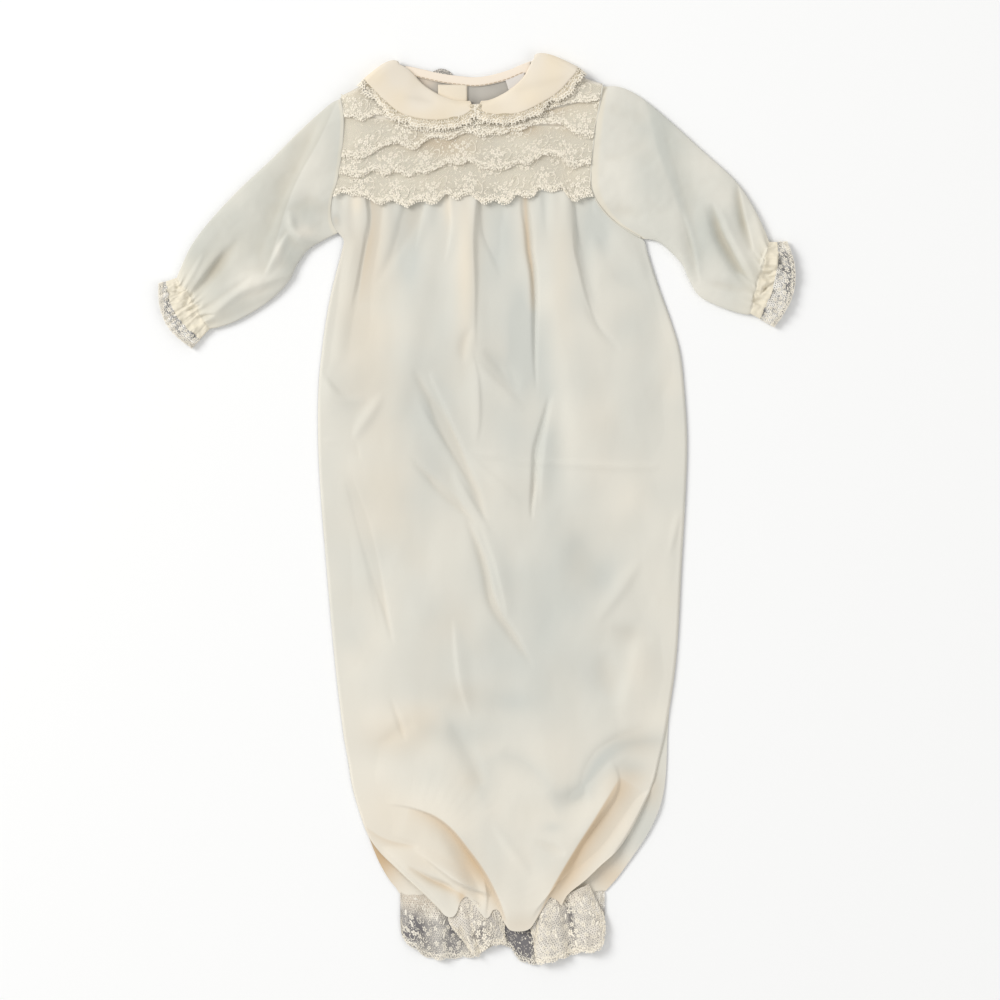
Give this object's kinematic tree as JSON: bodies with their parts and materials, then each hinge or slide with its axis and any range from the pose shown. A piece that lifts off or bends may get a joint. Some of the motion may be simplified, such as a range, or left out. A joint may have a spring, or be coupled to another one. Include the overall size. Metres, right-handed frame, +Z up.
{
  "type": "christening gown",
  "caption": "Baby christening gown laid flat, with a gathered long skirt drawn in at the hem, lace yoke, round collar and full sleeves with lace cuffs.",
  "frame": {"origin": "middle of the laid gown, on the surface it lies on", "axes": "+X across the chest towards the right of the picture, +Y from the hem to the neck, +Z up out of the front"},
  "size_m": [0.4333, 0.6172, 0.0144],
  "materials": {
    "skirt_cloth": "fine ivory batiste, matte with a soft sheen",
    "sheer_cloth": "single layer of ivory batiste, slightly sheer",
    "collar_cloth": "doubled cream batiste, pressed smooth",
    "lace": "fine net with raised flower sprays and a corded scalloped edge",
    "label_ribbon": "plain white woven ribbon"
  },
  "bodies": {
    "root": {"back_skirt": "skirt_cloth", "front_skirt": "skirt_cloth", "back_yoke_left": "sheer_cloth", "back_yoke_right": "sheer_cloth", "front_yoke": "skirt_cloth", "neck_facing": "collar_cloth", "back_placket": "collar_cloth", "neck_label": "label_ribbon", "yoke_lace_1": "lace", "yoke_lace_2": "lace", "yoke_lace_3": "lace", "yoke_lace_4": "lace", "collar_left": "collar_cloth", "collar_right": "collar_cloth", "collar_lace_left": "lace", "collar_lace_right": "lace", "collar_lace_end": "lace", "sleeve_left": "sheer_cloth", "sleeve_right": "sheer_cloth", "cuff_lace_left": "lace", "cuff_lace_right": "lace", "hem_lace_front": "lace", "hem_lace_back": "lace"}
  },
  "joints": []
}
